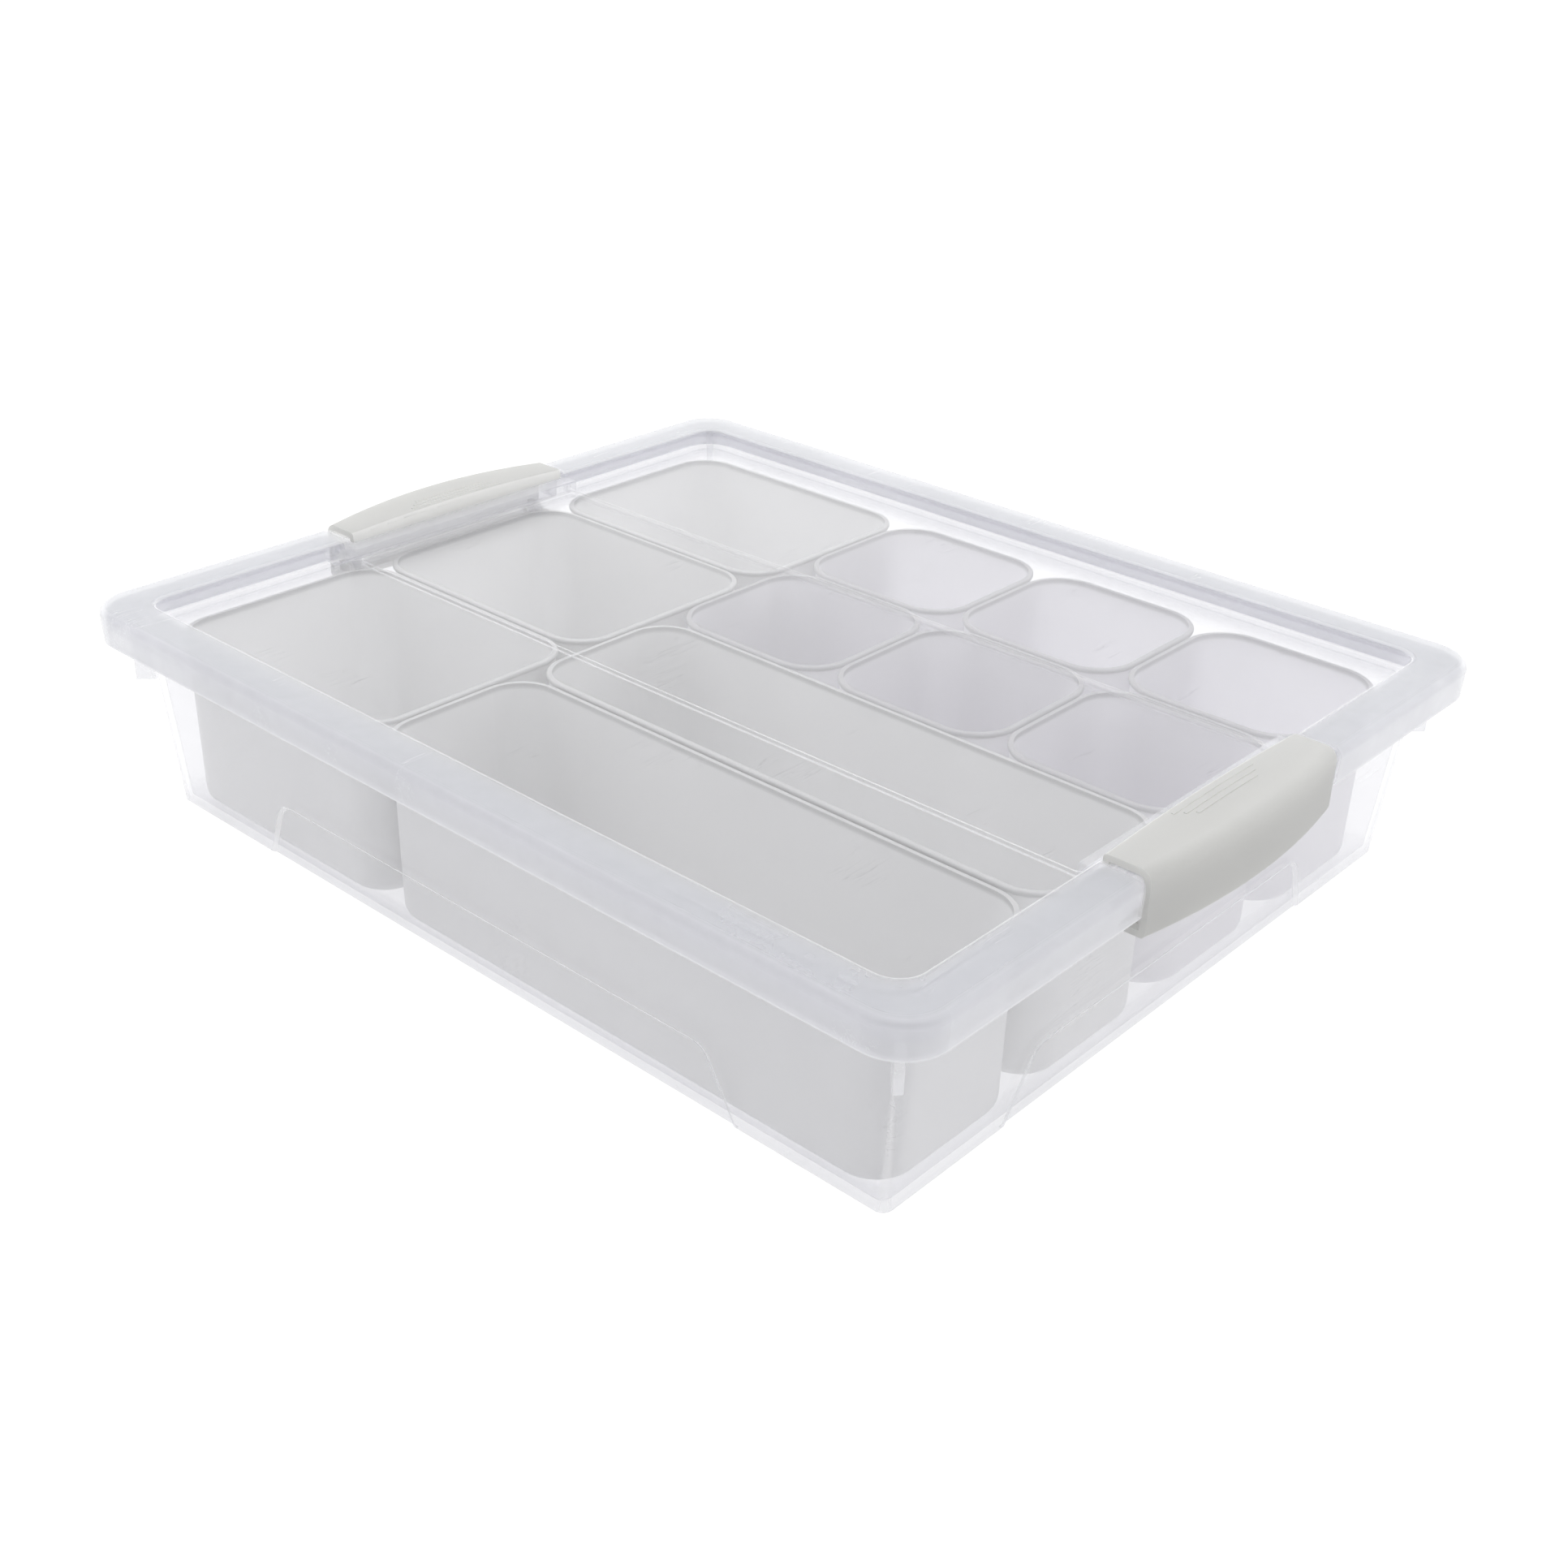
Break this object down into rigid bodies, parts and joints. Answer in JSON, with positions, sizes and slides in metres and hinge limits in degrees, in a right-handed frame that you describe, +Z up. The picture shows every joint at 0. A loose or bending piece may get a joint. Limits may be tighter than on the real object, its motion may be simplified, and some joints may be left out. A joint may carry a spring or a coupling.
{
  "type": "tackle box",
  "caption": "Shallow clear clip-lid tackle or sorting box: flanged base, lift-off lid with a sunken panel, a swing-out latch at each end, and lift-out cups and trays inside.",
  "frame": {"origin": "centre of the base's underside, on the surface it stands on", "axes": "+X along the length through the right latch, +Y along the width away from the long trays, +Z up"},
  "size_m": [0.4064, 0.3346, 0.0865],
  "materials": {
    "clear_shell": "clear, faintly frosted, cool tint",
    "milky_cup": "translucent milky white, satin",
    "latch_plastic": "warm off-white, satin"
  },
  "bodies": {
    "base": {"base": "clear_shell"},
    "lid": {"lid": "clear_shell"},
    "latch_right": {"latch_right": "latch_plastic"},
    "latch_left": {"latch_left": "latch_plastic"},
    "large_cup_front": {"large_cup_front": "milky_cup"},
    "large_cup_middle": {"large_cup_middle": "milky_cup"},
    "large_cup_back": {"large_cup_back": "milky_cup"},
    "long_tray_front": {"long_tray_front": "milky_cup"},
    "long_tray_back": {"long_tray_back": "milky_cup"},
    "small_cup_front_left": {"small_cup_front_left": "milky_cup"},
    "small_cup_front_middle": {"small_cup_front_middle": "milky_cup"},
    "small_cup_front_right": {"small_cup_front_right": "milky_cup"},
    "small_cup_back_left": {"small_cup_back_left": "milky_cup"},
    "small_cup_back_middle": {"small_cup_back_middle": "milky_cup"},
    "small_cup_back_right": {"small_cup_back_right": "milky_cup"}
  },
  "joints": [
    {"name": "lid_lift", "type": "slide", "parent": "base", "child": "lid", "axis": [0, 0, 1], "range_m": [0, 0.015]},
    {"name": "latch_right_swing", "type": "hinge", "parent": "base", "child": "latch_right", "pos_m": [0.1928, 0, 0.065], "axis": [0, 1, 0], "range_deg": [0, 120]},
    {"name": "latch_left_swing", "type": "hinge", "parent": "base", "child": "latch_left", "pos_m": [-0.1928, 0, 0.065], "axis": [0, -1, 0], "range_deg": [0, 120]},
    {"name": "large_cup_front_lift", "type": "slide", "parent": "base", "child": "large_cup_front", "axis": [0, 0, 1], "range_m": [0, 0.0012]},
    {"name": "large_cup_middle_lift", "type": "slide", "parent": "base", "child": "large_cup_middle", "axis": [0, 0, 1], "range_m": [0, 0.0012]},
    {"name": "large_cup_back_lift", "type": "slide", "parent": "base", "child": "large_cup_back", "axis": [0, 0, 1], "range_m": [0, 0.0012]},
    {"name": "long_tray_front_lift", "type": "slide", "parent": "base", "child": "long_tray_front", "axis": [0, 0, 1], "range_m": [0, 0.0012]},
    {"name": "long_tray_back_lift", "type": "slide", "parent": "base", "child": "long_tray_back", "axis": [0, 0, 1], "range_m": [0, 0.0012]},
    {"name": "small_cup_front_left_lift", "type": "slide", "parent": "base", "child": "small_cup_front_left", "axis": [0, 0, 1], "range_m": [0, 0.0012]},
    {"name": "small_cup_front_middle_lift", "type": "slide", "parent": "base", "child": "small_cup_front_middle", "axis": [0, 0, 1], "range_m": [0, 0.0012]},
    {"name": "small_cup_front_right_lift", "type": "slide", "parent": "base", "child": "small_cup_front_right", "axis": [0, 0, 1], "range_m": [0, 0.0012]},
    {"name": "small_cup_back_left_lift", "type": "slide", "parent": "base", "child": "small_cup_back_left", "axis": [0, 0, 1], "range_m": [0, 0.0012]},
    {"name": "small_cup_back_middle_lift", "type": "slide", "parent": "base", "child": "small_cup_back_middle", "axis": [0, 0, 1], "range_m": [0, 0.0012]},
    {"name": "small_cup_back_right_lift", "type": "slide", "parent": "base", "child": "small_cup_back_right", "axis": [0, 0, 1], "range_m": [0, 0.0012]}
  ],
  "couplings": [
    {"joint": "latch_right_swing", "follows": "lid_lift", "rad_per_m": 139.6},
    {"joint": "latch_left_swing", "follows": "lid_lift", "rad_per_m": 139.6}
  ]
}
